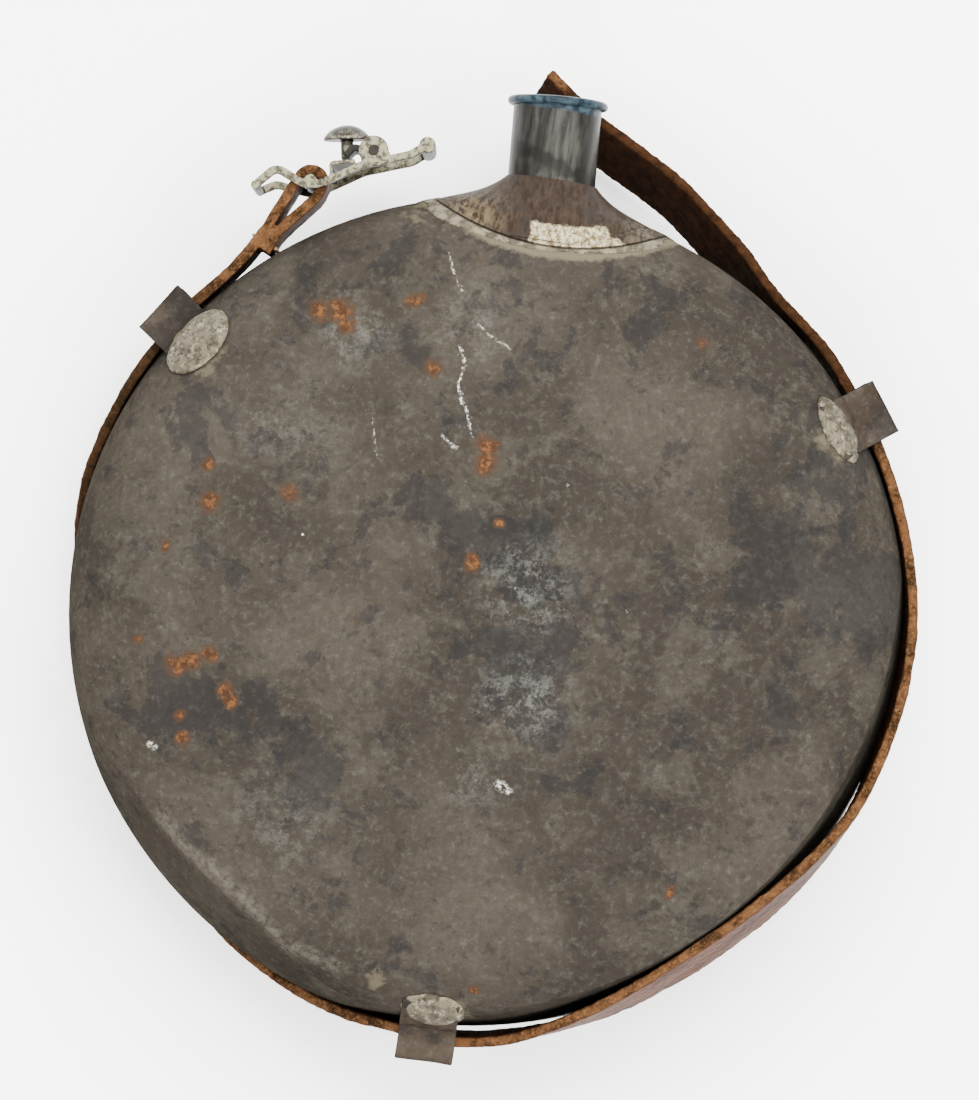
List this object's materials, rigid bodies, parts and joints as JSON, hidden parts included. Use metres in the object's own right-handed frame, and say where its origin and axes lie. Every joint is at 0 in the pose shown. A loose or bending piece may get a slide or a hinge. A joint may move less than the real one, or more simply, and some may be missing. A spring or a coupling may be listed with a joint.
{
  "type": "military canteen",
  "caption": "Round flat sheet-metal water canteen with a short open spout, soldered strap loops and a leather strap ending in a small lever clasp.",
  "frame": {"origin": "centre of the small flat on the back shell that the canteen rests on", "axes": "+Y towards the spout, +Z out of the front face, the seam lies level at z 34 mm"},
  "size_m": [0.2023, 0.2374, 0.068],
  "materials": {
    "patinated_tin": "tinned sheet iron, dull grey-brown with rust spots",
    "grey_solder": "dull soft solder",
    "worn_leather": "worn brown leather, rough on the flesh side",
    "waxed_thread": "waxed linen thread",
    "tinned_iron": "tinned iron, darkened",
    "polished_iron": "worn bright"
  },
  "bodies": {
    "canteen": {"front_shell": "patinated_tin", "back_shell": "patinated_tin", "neck_tube": "patinated_tin", "neck_skirt": "patinated_tin", "left_loop": "patinated_tin", "right_loop": "patinated_tin", "bottom_loop": "patinated_tin", "seam_solder": "grey_solder", "skirt_solder": "grey_solder", "left_front_solder": "grey_solder", "left_back_solder": "grey_solder", "right_front_solder": "grey_solder", "right_back_solder": "grey_solder", "bottom_front_solder": "grey_solder", "bottom_back_solder": "grey_solder", "strap": "worn_leather", "fold_stitches": "waxed_thread"},
    "clasp": {"clasp_frame": "tinned_iron", "clasp_pin": "tinned_iron"},
    "lever": {"clasp_lever": "tinned_iron", "thumb_pad": "polished_iron"}
  },
  "joints": [
    {"name": "clasp_swing", "type": "hinge", "parent": "canteen", "child": "clasp", "pos_m": [-0.056, 0.0944, 0.034], "axis": [0, 0, 1], "range_deg": [-12, 25]},
    {"name": "lever_turn", "type": "hinge", "parent": "clasp", "child": "lever", "pos_m": [-0.0424, 0.1037, 0.034], "axis": [0, 0, -1], "range_deg": [0, 80]}
  ]
}
